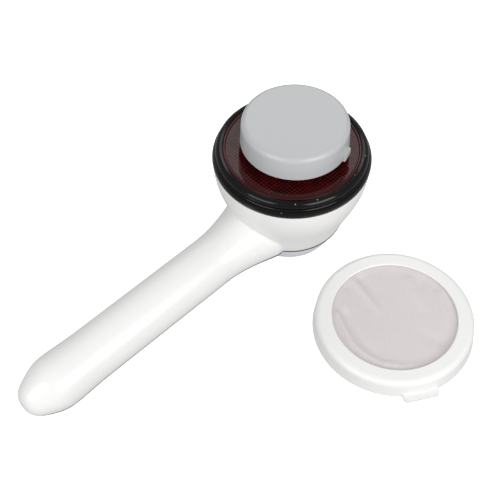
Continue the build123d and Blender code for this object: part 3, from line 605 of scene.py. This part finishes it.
# ---------------------------------------------------------------------------------------------
# Cover ring and its clamp ring: moulded in soft white ABS, with a rounded outer edge. The
# clamp ring holds the net in the cover ring.
# The moulding's satin skin scatters light evenly, so it looks chalky next to the body.
satin_white, _, _ = moulded(
    "satin_white_abs", "eaeae8", roughness=0.36, ior=1.54, grain=1.2, relief=0.006, mottle=0.008
)
coat_nodes(satin_white, "cover_ring", "mesh_clamp_ring")

# ---------------------------------------------------------------------------------------------
# Net of the cover: fine knitted polyester, clamped slack under the ring's lip. A flat disc is
# let hang as cloth, and the soft folds of the real one are then pressed into it.
net_low, net_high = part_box("cover_mesh")
net_middle = (net_low + net_high) / 2
net_radius = (net_high.x - net_low.x) / 2
net_free_radius = 49.5 * MM
net_rings = 54
net_spokes = 168


def net_disc():
    """Disc of rings and spokes with a closed centre, in the plane of the net."""
    shape = bmesh.new()
    centre = shape.verts.new((net_middle.x, net_middle.y, net_high.z))
    rows = []
    for ring_number in range(1, net_rings + 1):
        radius = net_radius * ring_number / net_rings
        row = []
        for spoke in range(net_spokes):
            angle = 2 * math.pi * spoke / net_spokes
            x = net_middle.x + radius * math.cos(angle)
            y = net_middle.y + radius * math.sin(angle)
            row.append(shape.verts.new((x, y, net_high.z)))
        rows.append(row)
    for spoke in range(net_spokes):
        after = (spoke + 1) % net_spokes
        shape.faces.new((centre, rows[0][spoke], rows[0][after]))
        for inner, outer in zip(rows, rows[1:]):
            shape.faces.new((inner[spoke], outer[spoke], outer[after], inner[after]))
    bmesh.ops.recalc_face_normals(shape, faces=shape.faces)
    mesh = bpy.data.meshes.new("net")
    shape.to_mesh(mesh)
    shape.free()
    mesh.shade_smooth()
    made = bpy.data.objects.new("net", mesh)
    bpy.context.scene.collection.objects.link(made)
    return made


# Each fold: its line in mm from the net's centre, half-width and height in mm.
net_folds = [
    ([(2.4, 45.5), (-0.9, 29.2), (-4.8, 13.3)], 3.0, 1.5),
    ([(8.0, 44.0), (6.0, 30.0), (2.0, 18.0)], 4.5, -0.8),
    ([(-30.5, 33.0), (-36.9, 17.7), (-41.6, 5.7), (-41.4, -10.2), (-37.5, -22.5)], 2.3, 1.9),
    ([(-26.0, 28.0), (-31.0, 16.0), (-35.0, 2.0), (-35.0, -12.0)], 3.6, -1.2),
    ([(-11.6, 43.0), (-19.6, 34.1), (-24.0, 26.0)], 2.8, 1.0),
    ([(-36.0, -24.0), (-29.0, -34.0), (-18.0, -42.0)], 3.0, 1.2),
    ([(34.1, 16.3), (27.9, 4.1), (23.1, -7.8)], 4.2, 1.1),
    ([(42.5, -9.1), (33.9, -21.4), (24.6, -34.0)], 3.6, 1.3),
    ([(12.0, -46.0), (6.0, -32.0), (5.0, -22.0)], 5.0, -0.9),
    ([(44.0, 8.0), (36.0, 4.0)], 4.0, -0.8),
]
# A fold has lost this share of its height where it ends.
fold_loss = 0.7


def fold_height(x, y):
    """Height in mm that the folds add at a point, in mm from the net's centre."""
    total = 0.0
    for line, width, height in net_folds:
        nearest = math.inf
        travelled = 0.0
        along_fold = 0.0
        length = sum(math.dist(a, b) for a, b in zip(line, line[1:]))
        for (x0, y0), (x1, y1) in zip(line, line[1:]):
            run = math.dist((x0, y0), (x1, y1))
            share = ((x - x0) * (x1 - x0) + (y - y0) * (y1 - y0)) / run**2
            held = min(max(share, 0.0), 1.0)
            away = math.dist((x, y), (x0 + held * (x1 - x0), y0 + held * (y1 - y0)))
            if away < nearest:
                nearest = away
                along_fold = (travelled + held * run) / length
            travelled += run
        fading = 1.0 - fold_loss * along_fold**2
        total += height * fading * math.exp(-((nearest / width) ** 2))
    return total


net = net_disc()
cloth_frames = 18
deepest_sag = 1.2
least_move = 1e-9
# The slack disc hangs from its clamped edge, lightly, as a stretched net does.
held_edge = net.vertex_groups.new(name="clamped")
for vertex in net.data.vertices:
    if math.hypot(vertex.co.x - net_middle.x, vertex.co.y - net_middle.y) > net_free_radius:
        held_edge.add([vertex.index], 1.0, "REPLACE")
cloth = net.modifiers.new("hang", "CLOTH")
cloth.settings.quality = 6
cloth.settings.mass = 0.05
cloth.settings.tension_stiffness = 15
cloth.settings.compression_stiffness = 15
cloth.settings.shear_stiffness = 8
cloth.settings.bending_stiffness = 2.0
cloth.settings.shrink_min = -0.004
cloth.settings.effector_weights.gravity = 0.12
cloth.settings.vertex_group_mass = "clamped"
cloth.collision_settings.use_collision = False
cloth.point_cache.frame_start = 1
cloth.point_cache.frame_end = cloth_frames
for number in range(1, cloth_frames + 1):
    bpy.context.scene.frame_set(number)
hung = net.evaluated_get(bpy.context.evaluated_depsgraph_get())
settled = [vertex.co.copy() for vertex in hung.to_mesh().vertices]
hung.to_mesh_clear()
net.modifiers.remove(cloth)
bpy.context.scene.frame_set(1)
for vertex, place in zip(net.data.vertices, settled):
    move = place - vertex.co
    vertex.co += move * min(1.0, deepest_sag * MM / max(move.length, least_move))

# Then the folds are pressed in, and they die out in the last 5 mm before the clamped edge.
edge_fade = 5.0
for vertex in net.data.vertices:
    x = (vertex.co.x - net_middle.x) / MM
    y = (vertex.co.y - net_middle.y) / MM
    edge = (net_free_radius / MM - math.hypot(x, y)) / edge_fade
    vertex.co.z += MM * min(max(edge, 0.0), 1.0) * fold_height(x, y)

# Knitted polyester yarn: matt, off-white with a little pink, and a soft sheen at its edges.
# The plain tint and bump given here are replaced by those of the threads, with painted shade between
# them, below.
knit, knit_shader, knit_place = moulded(
    "knitted_polyester_net", "d6cfd0", roughness=0.8, grain=0.4, relief=0.02, mottle=0.02
)
knit_shader.inputs["Sheen Weight"].default_value = 0.2
# Meshes of the real net are about 0.5 mm; they are drawn 1.1 mm apart so that they show.
# A thread's solid half-width and its faded edge are shares of that.
knit_pitch = 1.1
thread_half = 0.2
thread_edge = 0.36
thread_relief = 0.12
tree = knit.node_tree
across_threads = add_node(
    tree, "ShaderNodeMapping", {"Scale": (1 / (knit_pitch * MM),) * 3}, {"Vector": knit_place}
)
thread_axes = add_node(tree, "ShaderNodeSeparateXYZ", None, {0: across_threads.outputs["Vector"]})
stripes = []
for axis in (0, 1):
    stripe = add_node(
        tree, "ShaderNodeMath", {"operation": "PINGPONG", 1: 0.5}, {0: thread_axes.outputs[axis]}
    )
    stripes.append(stripe.outputs["Value"])
off_thread = add_node(
    tree, "ShaderNodeMath", {"operation": "MINIMUM"}, {0: stripes[0], 1: stripes[1]}
)
thread_share = add_node(
    tree,
    "ShaderNodeMapRange",
    {
        "From Min": thread_half,
        "From Max": thread_edge,
        "To Min": 1.0,
        "To Max": 0.0,
        "interpolation_type": "SMOOTHSTEP",
    },
    {"Value": off_thread.outputs["Value"]},
)
# Between the threads the colour is darker: painted shade, for the shaded hollow under the net that
# its openings would show.
knit_colour = add_node(
    tree,
    "ShaderNodeMix",
    {"data_type": "RGBA", 6: linear("bfb8b8"), 7: linear("d6cfcf")},
    {0: thread_share.outputs["Result"]},
)
tree.links.new(knit_colour.outputs[2], knit_shader.inputs["Base Color"])
knit_bump = add_node(
    tree,
    "ShaderNodeBump",
    {"Strength": 0.5, "Distance": thread_relief * MM},
    {"Height": thread_share.outputs["Result"]},
)
tree.links.new(knit_bump.outputs["Normal"], knit_shader.inputs["Normal"])
net.data.materials.append(knit)
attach(net, "mesh_cover")
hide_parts("cover_mesh")
